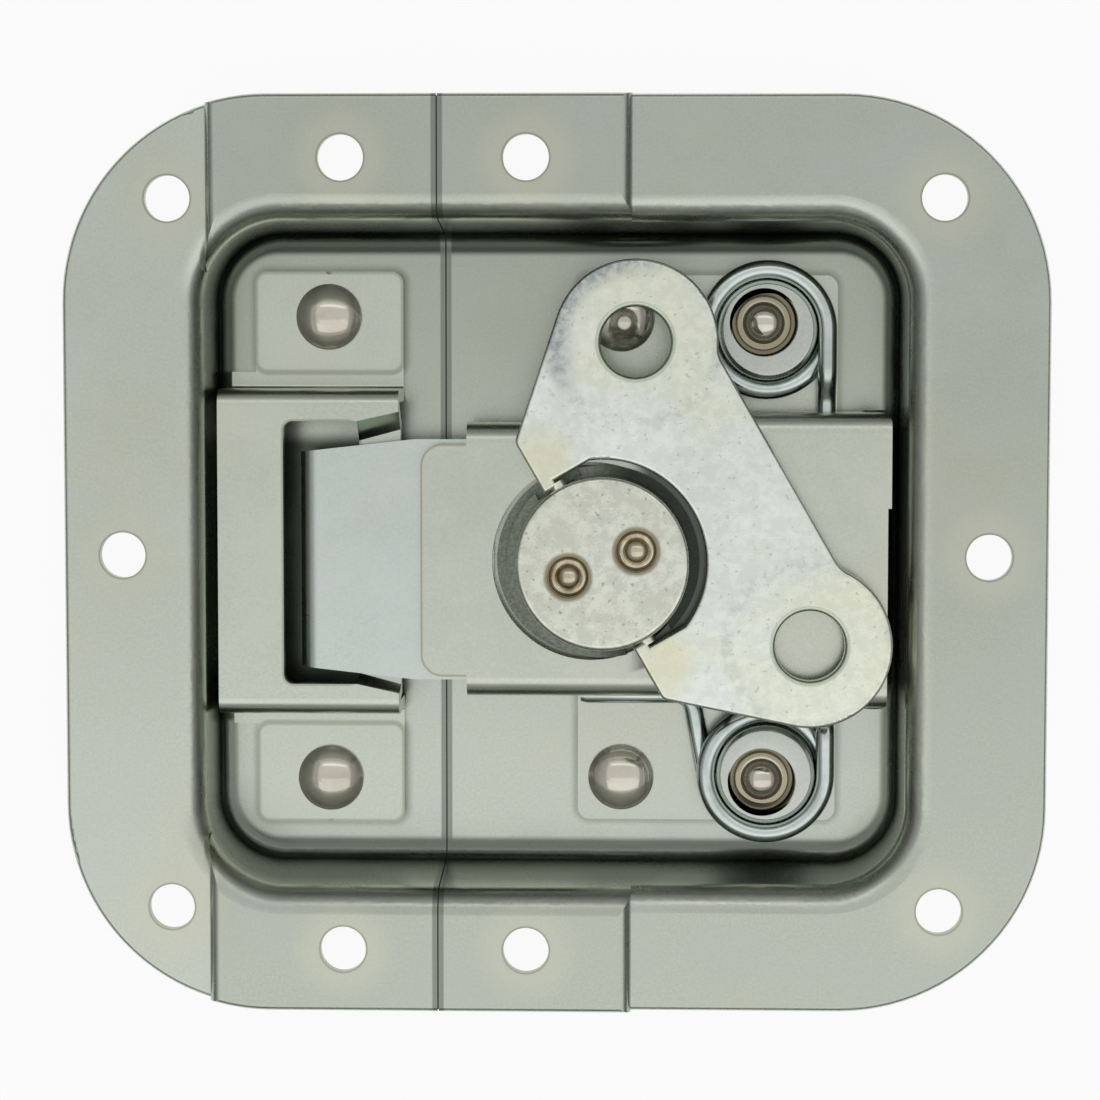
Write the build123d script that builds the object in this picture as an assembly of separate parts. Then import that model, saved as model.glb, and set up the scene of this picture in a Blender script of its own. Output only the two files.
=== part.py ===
from build123d import *
from math import atan2, cos, degrees, pi, radians, sin, sqrt, tan
import os

# Recessed butterfly latch for a case: a two-piece drawn steel dish, a keeper strike riveted in
# its short half, and a lift-up rotary draw latch riveted in its long half.
# Millimetres. Origin at the middle of the dish's back; +X from keeper to latch, +Z out of the face.

# ---- dish -----------------------------------------------------------------------------------
dish_sheet = 1.2            # sheet thickness of both dish halves
flange_width = 112.0        # overall, along X
flange_height = 104.4       # overall, along Y
flange_corner = 23.5        # plan radius of the flange's corners
flange_edge_radius = 0.6    # rounding that the blanking die leaves on the face
recess_depth = 14.0         # from the flange's face to the floor
floor_width = 79.8          # recess at the floor, wall to wall, before the bottom radius
floor_height = 73.6
floor_corner = 7.6
mouth_width = 80.4          # recess at the height of the raised band
mouth_height = 76.6
mouth_corner = 9.6
bottom_radius = 1.6         # inside radius between floor and walls
rim_radius = 3.0            # radius of the face where it turns down into the recess
band_rise = 1.5             # the middle of the top and bottom flanges is raised by this much
band_left = -39.5           # where the raised band's risers stand
band_right = 8.8
band_crest_radius = 1.4     # the band's edges roll over
seam_x = -13.2              # joint between the two dish halves
seam_gap = 0.15

# ---- fixing holes in the flange ----------------------------------------------------------------
fixing_hole_diameter = 5.2
corner_pitch_x = flange_width - 24.2
corner_pitch_y = flange_height - 23.4
side_pitch_x = flange_width - 13.5
band_pitch_x = 20.9
band_pitch_y = flange_height - 14.4
band_holes_x = -13.6        # middle of the four holes in the raised band

# ---- rivets ------------------------------------------------------------------------------------
rivet_head_diameter = 7.7
rivet_head_height = 2.2
rivet_shank_diameter = 4.8
rivet_flare_diameter = 6.2  # countersunk foot, flush with the dish's back
rivet_flare_depth = 0.9
rivet_fit = 0.02            # radial clearance of a set rivet in its hole

# ---- keeper strike -----------------------------------------------------------------------------
strike_sheet = 1.5
strike_left = -39.0
strike_right = -18.1
strike_half_width = 18.85   # outer face of each side wall
strike_top = 10.7           # height of its upper face
strike_bend = 1.9           # outside bend radius
tab_left = -35.5
tab_reach = 32.5            # outer edge of each foot tab, from the middle
tab_corner = 1.4
window_left = -31.4
window_right = -22.9
window_half = 15.2
window_corner = 1.1
bar_top = 7.3               # upper face of the lowered cross-bar
bar_half = 14.0             # half length of its level part, at the window
bar_flare = 1.3             # extra half length at its outer end
arm_flare = 1.3             # how much the arms' inner edges spread at the outer end
tab_nick = 0.35             # locating nick in each tab's outer edge
strike_rivet_x = -26.8
strike_rivet_y = 27.2

# ---- latch heights -----------------------------------------------------------------------------
mech_y = -0.8               # centre line of the lifting assembly
web_top = 11.4              # upper face of the frame's web
frame_sheet = 1.4
hook_sheet = 1.6
plate_gap = 0.15            # running gap between stacked plates

# ---- guide frame -------------------------------------------------------------------------------
frame_neck_half = 15.8      # outer face of the narrow side walls
frame_end_half = 17.05      # outer face of the wide side walls
frame_bend = 2.3            # outside bend radius
tongue_left = -15.5
tongue_half = 13.4
tongue_corner = 2.5
neck_left = -10.2
neck_right = 17.0
end_left = 19.5
frame_right = 38.5
end_notch_y = 5.3           # the right edge steps back below this line
end_notch = 0.4
end_corner = 1.2
wall_foot = 5.3             # lower edge of the frame's side walls
hub_window_radius = 11.4

# ---- base bracket and pivot ----------------------------------------------------------------------
bracket_sheet = 1.2
bracket_left = 2.4
bracket_right = 32.7
bracket_half = 32.05
bracket_corner = 1.4
ear_gap = 0.15              # side clearance between the ears and the frame's walls
ear_left = 34.0
ear_right = 38.3
ear_bend = 1.5
bracket_rivet_x = 7.5
bracket_rivet_y = 27.0
pivot_x = 36.7
pivot_z = 7.2
pivot_diameter = 3.0
pivot_fit = 0.05
pivot_proud = 0.25          # the pin's peened ends stand out of the side walls by this
ear_rim = 0.8               # metal left round the pivot hole

# ---- hub ---------------------------------------------------------------------------------------
hub_x = 5.5                 # turning axis
eccentricity = 1.35         # the cam's offset; the hook is drawn in by twice this
cam_radius = 10.9
journal_radius = 6.5
journal_fit = 0.05
cap_radius = 9.9
cap_height = 3.55
cap_bevel = 0.6
cheek_radius = 11.05        # thin flange that rides on the frame's web
cheek_flange = 0.55
cheek_height = 1.5          # from the flange's underside to the cap's foot
cheek_notch_half = 2.9
cheek_notch_reach = 9.75
retainer_radius = 8.6
retainer_sheet = 1.2
hub_rivet_reach = 4.13      # each hub rivet from the axis
hub_rivet_angle = 21.0
hub_rivet_radius = 1.6
hub_rivet_well_radius = 2.4
hub_rivet_well_depth = 1.0
hub_rivet_foot_radius = 2.6
hub_rivet_foot = 0.8
backplate_sheet = 1.4
backplate_left = -8.5
backplate_right = 16.0
lug_length = 4.0
lug_places = (-5.5, 12.0)   # middle of the lugs that stand through the side walls
lug_fit = 0.05

# ---- hook plate --------------------------------------------------------------------------------
hook_half = 13.9
hook_nose_half = 12.3
hook_taper_right = -16.4
hook_right = 17.5
hook_nose_left = -29.7
hook_bend = 2.4             # outside bend radius of the nose
hook_lean = 10.0            # the nose leans back under the plate by this angle
hook_tip = 4.9              # height of the nose's tip
draw_allowance = 0.35       # the cam slot is wider than the cam by this, each side

# ---- butterfly handle --------------------------------------------------------------------------
handle_sheet = 2.0
handle_turn = 30.0          # the handle's own axis from +X, seen from the face
lobe_radius = 9.4
lobe_reach = 15.75          # lobe centres from the hinge line
lobe_half_pitch = 19.9
finger_hole_radius = 4.0
back_edge = 23.1            # straight edge between the lobes, from the hinge line
back_nick_radius = 3.0
corner_half = 16.9          # from the middle to the outer corner of each tip's edge
corner_radius = 1.2
tip_back = 1.8              # the tips' edge behind the hinge line
tip_front = 1.05
tip_half = 10.1
hub_cutout_radius = 11.8
cutout_flat = 10.9          # the flats at the ends of the cut-out
trunnion_fit = 0.05
handle_edge = 0.3           # chamfer under the blank
handle_roll = 0.45          # rounding that the punch leaves on its face

# ---- lift spring -------------------------------------------------------------------------------
wire_diameter = 2.2
collar_x = 24.4
collar_y = 25.9             # the collars' outside stands off-centre on its post, towards the frame
collar_radius = 5.75
collar_chamfer = 0.5
collar_height = 4.4
post_x = 24.0
post_y = 26.7
spring_y = -0.2             # the line half way between the two collars
collar_well_radius = 3.85
collar_floor = 1.4
post_shank_diameter = 3.8
post_ring_radius = 3.2
post_ring = 0.7
post_head_radius = 2.4
post_head_height = 2.3
coil_gap = 0.1              # between collar and wire, and between the wire's turns
leg_end = 2.8               # left end of the free legs
leg_corner_x = 15.7         # where each free leg turns towards its coil
leg_bend = 2.0
run_straight = 4.7          # the top turn runs on level by this before it dips under the frame
run_bend = 1.5
coil_steps = 12

# ---- levels that follow ------------------------------------------------------------------------
floor_top = dish_sheet
flange_top = floor_top + recess_depth
band_top = flange_top + band_rise
web_bottom = web_top - frame_sheet
hook_top = web_bottom - plate_gap
hook_bottom = hook_top - hook_sheet
backplate_top = hook_bottom - plate_gap
backplate_bottom = backplate_top - backplate_sheet
retainer_top = backplate_bottom - 0.1
retainer_bottom = retainer_top - retainer_sheet
cheek_bottom = web_top + 0.05
cheek_top = cheek_bottom + cheek_height
cap_top = cheek_top + cap_height
handle_bottom = cheek_top + 0.25
hinge_z = handle_bottom + handle_sheet / 2
plate_top = floor_top + bracket_sheet
wire_radius = wire_diameter / 2
coil_radius = collar_radius + coil_gap + wire_radius
coil_low = plate_top + coil_gap + wire_radius
coil_high = coil_low + wire_diameter + coil_gap
leg_z = wall_foot - wire_radius - 0.05
cam_x = hub_x - eccentricity
well_floor = cap_top - hub_rivet_well_depth
EVERYTHING = 400.0


def slab(x0, x1, y0, y1, z0, z1):
    """A box between two corners."""
    centre = Pos((x0 + x1) / 2, (y0 + y1) / 2, (z0 + z1) / 2)
    return centre * Box(x1 - x0, y1 - y0, z1 - z0)


def disc(x, y, radius, z0, z1):
    """A round prism standing between two heights."""
    return Pos(x, y, (z0 + z1) / 2) * Cylinder(radius, z1 - z0)


def rounded_block(width, height, radius, z0, z1):
    """A prism on a rounded rectangle, centred on the Z axis."""
    return extrude(Pos(0, 0, z0) * RectangleRounded(width, height, radius), z1 - z0)


def rounded_plate(x0, x1, y0, y1, radius, z0, z1):
    """A rounded rectangular plate between two corners and two heights."""
    outline = RectangleRounded(x1 - x0, y1 - y0, radius)
    return extrude(Pos((x0 + x1) / 2, (y0 + y1) / 2, z0) * outline, z1 - z0)


def across(profile_points, bend_radius, thickness, x0, x1):
    """Bent sheet whose middle line is drawn in the YZ plane and that runs from x0 to x1."""
    line = FilletPolyline(*profile_points, radius=bend_radius)
    strip = trace(line, line_width=thickness)
    return extrude(Plane(origin=(x0, 0, 0), x_dir=(0, 1, 0), z_dir=(1, 0, 0)) * strip, x1 - x0)


def turned(profile_points, x, y):
    """A solid of revolution about a vertical axis, from (radius, height) points."""
    face = Plane.XZ * make_face(Polyline(*profile_points, close=True))
    return Pos(x, y, 0) * revolve(face, Axis.Z)


# ---- the dish ----------------------------------------------------------------------------------
def walled_block(offset, floor_height_z, top):
    """The recess's tapered block, grown by offset, from the floor to a height above the mouth."""
    grow = 2 * offset
    rise = (top - floor_height_z) / (band_top - floor_top)
    width = floor_width + (mouth_width - floor_width) * rise
    height = floor_height + (mouth_height - floor_height) * rise
    corner = floor_corner + (mouth_corner - floor_corner) * rise
    low = Pos(0, 0, floor_height_z) * RectangleRounded(
        floor_width + grow, floor_height + grow, floor_corner + offset
    )
    high = Pos(0, 0, top) * RectangleRounded(width + grow, height + grow, corner + offset)
    block = loft([low, high], ruled=True)
    return fillet(block.edges().group_by(Axis.Z)[0], bottom_radius + offset)


def inner_rim(solid, height):
    """The edges round the recess at a height, without those of the flange's outline."""
    ring = solid.edges().filter_by_position(Axis.Z, height - 0.01, height + 0.01)
    reach_x = mouth_width / 2 + rim_radius
    reach_y = mouth_height / 2 + rim_radius
    return [e for e in ring if abs(e.center().X) < reach_x and abs(e.center().Y) < reach_y]


def drawn_dish(face_height):
    """A whole dish of even thickness, its flange's face at one height."""
    recess = walled_block(0, floor_top, band_top + 1)
    body = rounded_block(flange_width, flange_height, flange_corner, 0, face_height)
    body = fillet(body.edges().group_by(Axis.Z)[-1], flange_edge_radius)
    body -= recess
    body = fillet(inner_rim(body, face_height), rim_radius)
    under = face_height - dish_sheet
    below = rounded_block(flange_width + 4, flange_height + 4, flange_corner + 2, -1, under)
    below -= walled_block(dish_sheet, 0, band_top + 1)
    below = fillet(inner_rim(below, under), rim_radius - dish_sheet)
    return body, below


def riser(low, high, x, side):
    """The step of the raised band: the sheet turns up at x and is rounded at its crest."""
    x_in = x - side * dish_sheet
    step = slab(min(x, x_in), max(x, x_in), -EVERYTHING, EVERYTHING, -1, band_top + 1)
    web = (high[0] - low[1]) & step
    crest_x = x - side * band_crest_radius
    crest_z = band_top - band_crest_radius
    corner = slab(min(x, crest_x), max(x, crest_x), -EVERYTHING, EVERYTHING, crest_z, band_top + 1)
    corner -= Pos(crest_x, 0, crest_z) * Rot(90, 0, 0) * Cylinder(band_crest_radius, EVERYTHING * 2)
    return web - corner


def dish():
    """Both halves in one: flat flange at the ends, raised band in the middle, one recess."""
    low = drawn_dish(flange_top)
    high = drawn_dish(band_top)
    level = low[0] - low[1]
    raised = high[0] - high[1]
    band = slab(
        band_left + dish_sheet, band_right - dish_sheet, -EVERYTHING, EVERYTHING, -EVERYTHING, EVERYTHING
    )
    outside = slab(band_left, band_right, -EVERYTHING, EVERYTHING, -EVERYTHING, EVERYTHING)
    whole = (level - outside) + (raised & band)
    whole += riser(low, high, band_left, -1) + riser(low, high, band_right, 1)
    return whole


def fixing_holes():
    """All flange holes, as drills."""
    spots = [(sx * corner_pitch_x / 2, sy * corner_pitch_y / 2) for sx in (-1, 1) for sy in (-1, 1)]
    spots += [(-side_pitch_x / 2, 0), (side_pitch_x / 2, 0)]
    spots += [
        (band_holes_x + sx * band_pitch_x / 2, sy * band_pitch_y / 2) for sx in (-1, 1) for sy in (-1, 1)
    ]
    drill = [disc(x, y, fixing_hole_diameter / 2, -1, band_top + 1) for x, y in spots]
    return Compound(children=drill)


def rivet(x, y, seat, head_radius, head_height, shank_radius):
    """A set rivet: domed head on its seat, plain shank, foot flared flush with the dish's back."""
    flare_radius = rivet_flare_diameter / 2 - rivet_fit
    dome_radius = (head_radius**2 + head_height**2) / (2 * head_height)
    dome = Pos(x, y, seat + head_height - dome_radius) * Sphere(dome_radius)
    dome &= disc(x, y, head_radius, seat, seat + head_height)
    foot = Pos(x, y, rivet_flare_depth / 2) * Cone(flare_radius, shank_radius, rivet_flare_depth)
    return dome + disc(x, y, shank_radius, rivet_flare_depth / 2, seat + head_height / 4) + foot


def rivet_drill(x, y, shank_radius):
    """The hole for a rivet's shank with the countersink for its foot."""
    sink = Pos(x, y, rivet_flare_depth / 2) * Cone(
        rivet_flare_diameter / 2, shank_radius + rivet_fit, rivet_flare_depth
    )
    return sink + disc(x, y, shank_radius + rivet_fit, -1, plate_top + 1)


# ---- keeper strike -----------------------------------------------------------------------------
def keeper_strike():
    """One bent sheet: feet on the floor, two side walls, a C-shaped top and a lowered cross-bar."""
    half = strike_sheet / 2
    wall = strike_half_width - half
    foot = floor_top + half
    roof = strike_top - half
    bend = strike_bend - half
    hat = [(-tab_reach, foot), (-wall, foot), (-wall, roof), (wall, roof), (wall, foot), (tab_reach, foot)]
    strike = across(hat, bend, strike_sheet, strike_left, strike_right)
    for side in (-1, 1):
        y_out = side * (strike_half_width + strike_bend)
        far = side * EVERYTHING
        strike -= slab(strike_left - 1, tab_left, min(y_out, far), max(y_out, far), -1, plate_top + 1)
        tab_ends = strike.edges().filter_by(Axis.Z).sort_by(Axis.Y)
        outer = tab_ends[:2] if side < 0 else tab_ends[-2:]
        strike = fillet(outer, tab_corner)
        strike -= disc(strike_rivet_x, side * tab_reach, tab_nick, 0, plate_top + 1)
    opening = rounded_plate(
        window_left, window_right + strike_sheet, -window_half, window_half, window_corner,
        strike_top - 2 * strike_sheet, strike_top + 1,
    )
    spread = Polygon(
        (window_right, -window_half), (strike_right + 1, -window_half - arm_flare),
        (strike_right + 1, window_half + arm_flare), (window_right, window_half), align=None,
    )
    mouth = extrude(Pos(0, 0, strike_top - 2 * strike_sheet) * spread, 2 * strike_sheet + 1)
    heel = slab(
        strike_left - 1, bottom_radius - floor_width / 2, -EVERYTHING, EVERYTHING, 0, floor_top + bottom_radius
    )
    strike = strike - opening - mouth - heel
    return strike + cross_bar()


def cross_bar():
    """The lowered bar that the hook pulls on, with a short slope up to each arm."""
    half = strike_sheet / 2
    sections = []
    for x, level, edge in (
        (window_right, bar_half, window_half),
        (strike_right, bar_half + bar_flare, window_half + arm_flare),
    ):
        line = [(-edge - half, strike_top - half), (mech_y - level, bar_top - half)]
        line += [(mech_y + level, bar_top - half), (edge + half, strike_top - half)]
        strip = trace(Polyline(*line), line_width=strike_sheet)
        sections.append(Plane(origin=(x, 0, 0), x_dir=(0, 1, 0), z_dir=(1, 0, 0)) * strip)
    bar = loft(sections, ruled=True)
    cap = slab(window_right - 1, strike_right + 1, -EVERYTHING, EVERYTHING, strike_top, strike_top + 9)
    return bar - cap


# ---- base bracket ------------------------------------------------------------------------------
def base_bracket():
    """Flat riveted plate with two ears bent up at its end for the pivot pin."""
    plate = rounded_plate(
        bracket_left, bracket_right, -bracket_half, bracket_half, bracket_corner, floor_top, plate_top
    )
    ear_out = frame_end_half - frame_sheet - ear_gap
    half = bracket_sheet / 2
    channel = [(-ear_out + half, pivot_z + 9), (-ear_out + half, floor_top + half)]
    channel += [(ear_out - half, floor_top + half), (ear_out - half, pivot_z + 9)]
    ears = Pos(0, mech_y, 0) * across(channel, ear_bend - half, bracket_sheet, bracket_right - 2, ear_right)
    ear_top_radius = pivot_diameter / 2 + ear_rim
    profile = disc_across(pivot_x, pivot_z, ear_top_radius)
    profile += slab(ear_left, ear_right, -EVERYTHING, EVERYTHING, 0, pivot_z)
    profile += slab(bracket_right - 2, ear_right, -EVERYTHING, EVERYTHING, 0, plate_top)
    bracket = plate + (ears & profile)
    bracket -= disc_across(pivot_x, pivot_z, pivot_diameter / 2 + rivet_fit)
    for side in (-1, 1):
        bracket -= rivet_drill(bracket_rivet_x, side * bracket_rivet_y, rivet_shank_diameter / 2)
        bracket -= rivet_drill(post_x, spring_y + side * post_y, post_shank_diameter / 2)
    return bracket


def disc_across(x, z, radius):
    """A round prism lying along Y, from one side of the object to the other."""
    return Pos(x, 0, z) * Rot(90, 0, 0) * Cylinder(radius, 2 * EVERYTHING)


def pivot_pin():
    """Pin through both ears and both side walls, its ends peened just proud of them."""
    reach = frame_end_half + pivot_proud
    pin = Cylinder(pivot_diameter / 2, 2 * reach)
    pin = chamfer(pin.edges().group_by(Axis.Z)[0] + pin.edges().group_by(Axis.Z)[-1], pivot_proud)
    return Pos(pivot_x, mech_y, pivot_z) * Rot(90, 0, 0) * pin


# ---- guide frame -------------------------------------------------------------------------------
def latch_frame():
    """Inverted channel with a tongue in front, a hub window, slots for the backplate and a pivot."""
    half = frame_sheet / 2
    frame = rounded_plate(
        tongue_left, neck_left + 2 * tongue_corner, -tongue_half, tongue_half, tongue_corner,
        web_bottom, web_top,
    )
    bend = frame_bend - half
    for half_width, x0, x1 in (
        (frame_neck_half, neck_left, neck_right),
        (frame_end_half, end_left, frame_right),
    ):
        side = half_width - half
        line = [(-side, wall_foot), (-side, web_top - half), (side, web_top - half), (side, wall_foot)]
        channel = across(line, bend, frame_sheet, x0, x1)
        if x1 == frame_right:
            channel &= rounded_plate(0, frame_right, -half_width, half_width, end_corner, 0, web_top)
        frame += channel
    bridge = frame_neck_half - frame_bend
    frame += slab(neck_right - 1, end_left + 1, -bridge, bridge, web_bottom, web_top)
    frame = Pos(0, mech_y, 0) * frame
    frame -= disc(cam_x, mech_y, hub_window_radius, web_bottom - 1, web_top + 1)
    frame -= slab(frame_right - end_notch, frame_right + 1, -EVERYTHING, end_notch_y, 0, web_top + 1)
    frame -= disc_across(pivot_x, pivot_z, pivot_diameter / 2 + pivot_fit)
    for place in lug_places:
        reach = lug_length / 2 + lug_fit
        low, high = backplate_bottom - lug_fit, backplate_top + lug_fit
        frame -= slab(place - reach, place + reach, -EVERYTHING, EVERYTHING, low, high)
    return frame


def frame_backplate():
    """Plate under the hook that carries the hub's journal, staked through the side walls."""
    inner = frame_neck_half - frame_sheet - 0.02
    plate = slab(
        backplate_left, backplate_right, -inner, inner, backplate_bottom, backplate_top
    )
    for place in lug_places:
        x0, x1 = place - lug_length / 2, place + lug_length / 2
        plate += slab(x0, x1, -frame_neck_half, frame_neck_half, backplate_bottom, backplate_top)
    plate = Pos(0, mech_y, 0) * plate
    return plate - disc(hub_x, mech_y, journal_radius + journal_fit, 0, web_top)


# ---- hook plate --------------------------------------------------------------------------------
def hook_plate():
    """Flat puller with a bent nose, tapered towards it, with a cross slot for the cam."""
    half = hook_sheet / 2
    bend = hook_bend - half
    top = hook_top - half
    nose_x = hook_nose_left + half - bend * (1 / cos(radians(hook_lean)) - 1)
    nose_x -= bend * tan(radians(hook_lean)) * (1 - sin(radians(hook_lean)))
    drop = top - hook_tip
    line = FilletPolyline(
        (hook_right, top), (nose_x, top), (nose_x + drop * tan(radians(hook_lean)), hook_tip), radius=bend
    )
    strip = trace(line, line_width=hook_sheet)
    side_view = Plane(origin=(0, hook_half, 0), x_dir=(1, 0, 0), z_dir=(0, -1, 0))
    plate = extrude(side_view * strip, 2 * hook_half)
    outline = Polygon(
        (hook_nose_left - 1, -hook_nose_half), (hook_taper_right, -hook_half),
        (hook_right + 1, -hook_half), (hook_right + 1, hook_half),
        (hook_taper_right, hook_half), (hook_nose_left - 1, hook_nose_half), align=None,
    )
    plate &= extrude(outline, web_top)
    slot_half = cam_radius + draw_allowance
    slot_reach = eccentricity + cam_radius + journal_fit - slot_half
    slot = slab(cam_x - slot_half, cam_x + slot_half, -slot_reach, slot_reach, 0, web_top)
    for side in (-1, 1):
        slot += disc(cam_x, side * slot_reach, slot_half, 0, web_top)
    return Pos(0, mech_y, 0) * (plate - slot)


# ---- hub ---------------------------------------------------------------------------------------
def hub_rivet_spots():
    """The two rivets' places on the hub."""
    angle = radians(hub_rivet_angle)
    dx, dy = hub_rivet_reach * cos(angle), hub_rivet_reach * sin(angle)
    return [(hub_x - dx, mech_y - dy), (hub_x + dx, mech_y + dy)]


def hub_frame():
    """Where the handle's own axes lie: X away from the hinge line, Y along it."""
    return Pos(hub_x, mech_y, 0) * Rot(0, 0, handle_turn)


def hub_cam():
    """Journal, eccentric cam, neck and cheek, turned and milled in one piece."""
    body = disc(hub_x, mech_y, journal_radius, retainer_top, hook_bottom - plate_gap / 2)
    body += disc(cam_x, mech_y, cam_radius, hook_bottom - plate_gap / 2, web_bottom - plate_gap / 2)
    body += disc(hub_x, mech_y, cap_radius, web_bottom - plate_gap, cheek_top)
    cheek = Pos(0, 0, cheek_bottom) * extrude(Circle(cheek_radius), cheek_flange)
    for side in (-1, 1):
        y0, y1 = sorted((side * cheek_notch_reach, side * EVERYTHING))
        cheek -= slab(-cheek_notch_half, cheek_notch_half, y0, y1, 0, cap_top)
    body += hub_frame() * cheek
    for x, y in hub_rivet_spots():
        body -= disc(x, y, hub_rivet_radius + rivet_fit, 0, cap_top)
    return body


def hub_cap():
    """Bevelled cap over the handle's trunnion, with a well for each hub rivet."""
    cap = Pos(0, 0, (cheek_top + cap_top) / 2) * Cylinder(cap_radius, cap_height)
    cap = fillet(cap.edges().group_by(Axis.Z)[-1], cap_bevel)
    saddle = handle_sheet / 2 + trunnion_fit
    cap -= slab(-saddle, saddle, -EVERYTHING, EVERYTHING, 0, hinge_z)
    cap -= Pos(0, 0, hinge_z) * Rot(90, 0, 0) * Cylinder(saddle, 2 * EVERYTHING)
    cap = hub_frame() * cap
    for x, y in hub_rivet_spots():
        cap -= disc(x, y, hub_rivet_radius + rivet_fit, 0, cap_top + 1)
        cap -= disc(x, y, hub_rivet_well_radius, well_floor, cap_top + 1)
    return cap


def hub_retainer():
    """Washer under the backplate that keeps the hub in."""
    washer = disc(hub_x, mech_y, retainer_radius, retainer_bottom, retainer_top)
    for x, y in hub_rivet_spots():
        washer -= disc(x, y, hub_rivet_radius + rivet_fit, 0, cap_top)
    return washer


def hub_rivet(x, y):
    """Through rivet with a flat foot below and a stepped, domed head in the cap's well."""
    r = hub_rivet_radius
    collar = hub_rivet_well_radius - 0.15
    top = well_floor
    outline = [
        (0, retainer_bottom - hub_rivet_foot), (hub_rivet_foot_radius, retainer_bottom - hub_rivet_foot),
        (hub_rivet_foot_radius, retainer_bottom), (r, retainer_bottom), (r, top),
        (collar, top), (collar, top + 0.35), (collar - 0.45, top + 0.7), (0, top + 0.7),
    ]
    dome = Pos(x, y, top + 0.7) * Sphere(r * 0.95)
    dome &= disc(x, y, r, top + 0.3, band_top)
    return turned(outline, x, y) + dome


# ---- handle ------------------------------------------------------------------------------------
def handle_outline():
    """The butterfly's outline about the hinge line: tips' edge, two lobes, straight back."""
    corner = Vector(-tip_back, corner_half)
    centre = Vector(lobe_reach, lobe_half_pitch)
    reach = centre - corner
    tangent_length = sqrt(reach.length**2 - lobe_radius**2)
    spread = degrees(atan2(lobe_radius, tangent_length))
    touch = corner + reach.normalized().rotate(Axis.Z, spread) * tangent_length
    upper = [(back_edge, lobe_half_pitch), (centre.X, centre.Y), (touch.X, touch.Y), (corner.X, corner.Y)]
    lower = [(u, -v) for u, v in reversed(upper)]
    blank = Polygon(*upper, *lower, align=None)
    for side in (-1, 1):
        blank += Pos(lobe_reach, side * lobe_half_pitch) * Circle(lobe_radius)
    return blank


def butterfly_handle():
    """Blanked plate with a round trunnion across its waist, two finger holes and rounded edges."""
    outline = handle_outline()
    cut = Circle(hub_cutout_radius)
    cut &= Pos(EVERYTHING / 2, 0) * Rectangle(EVERYTHING, 2 * cutout_flat)
    cut += Pos(-EVERYTHING / 2 + tip_front + 0.5, 0) * Rectangle(EVERYTHING, 2 * tip_half)
    outline -= cut
    for side in (-1, 1):
        outline -= Pos(lobe_reach, side * lobe_half_pitch) * Circle(finger_hole_radius)
    corners = [v for v in outline.vertices() if abs(v.X - back_edge) < 0.01]
    outline = fillet(corners, back_nick_radius)
    corners = [v for v in outline.vertices() if v.X < 0 and abs(v.Y) > tip_half + 1]
    outline = fillet(corners, corner_radius)
    plate = extrude(Pos(0, 0, handle_bottom) * outline, handle_sheet, dir=(0, 0, 1))
    plate = chamfer(plate.edges().group_by(Axis.Z)[0], handle_edge)
    plate = fillet(plate.edges().group_by(Axis.Z)[-1], handle_roll)
    trunnion = Pos(0, 0, hinge_z) * Rot(90, 0, 0) * Cylinder(handle_sheet / 2, 2 * tip_half + 1)
    return hub_frame() * (plate + trunnion)


# ---- lift spring -------------------------------------------------------------------------------
def spring_collar(side):
    """Bush that carries one coil, its well bored off-centre for the post rivet's head."""
    top = plate_top + collar_height
    y_post = spring_y + side * post_y
    bush = disc(collar_x, spring_y + side * collar_y, collar_radius, plate_top, top)
    bush = chamfer(bush.edges().group_by(Axis.Z)[-1], collar_chamfer)
    bush -= disc(post_x, y_post, collar_well_radius, plate_top + collar_floor, top + 1)
    return bush - disc(post_x, y_post, post_shank_diameter / 2 + rivet_fit, 0, top)


def spring_post(side):
    """Stepped rivet in the collar's well."""
    seat = plate_top + collar_floor
    y = spring_y + side * post_y
    post = rivet(post_x, y, seat, post_head_radius, post_head_height, post_shank_diameter / 2)
    return post + disc(post_x, y, post_ring_radius, seat, seat + post_ring)


def half_spring(side):
    """Corners of the wire's middle line on one side, from the free leg to the cross run."""
    wall = side * mech_y + wire_radius + coil_gap
    leg_y = side * (frame_neck_half + side * mech_y + coil_gap + pivot_proud)
    y = spring_y + side * collar_y
    points = [(leg_end, leg_y, leg_z), (leg_corner_x, leg_y, leg_z)]
    grow = coil_radius / cos(pi / coil_steps)
    half_turn = coil_steps // 2
    for i in range(3 * half_turn + 1):
        angle = pi - 2 * pi * i / coil_steps
        turned_by = min(1.0, max(0.0, (i - half_turn) / half_turn))
        rise = turned_by**2 * (3 - 2 * turned_by)
        height = coil_low + (coil_high - coil_low) * rise
        points.append((collar_x + grow * cos(angle), y + side * grow * sin(angle), height))
    run_x = collar_x + coil_radius
    points.append((run_x, y - side * run_straight, coil_high))
    points.append((run_x, side * (frame_end_half + wall), leg_z))
    return points


def lift_spring():
    """One wire: a leg under each side wall of the frame, a coil round each collar, a cross run."""
    upper, lower = half_spring(1), half_spring(-1)
    coil_corners = [0.9 * coil_radius] * (len(upper) - 4)
    bends = [leg_bend] + coil_corners + [run_bend, run_bend]
    path = FilletPolyline(*(upper + lower[::-1]), radius=bends + bends[::-1])
    start = Plane(origin=path @ 0, z_dir=path % 0)
    return sweep(start * Circle(wire_radius), path=path)


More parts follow.
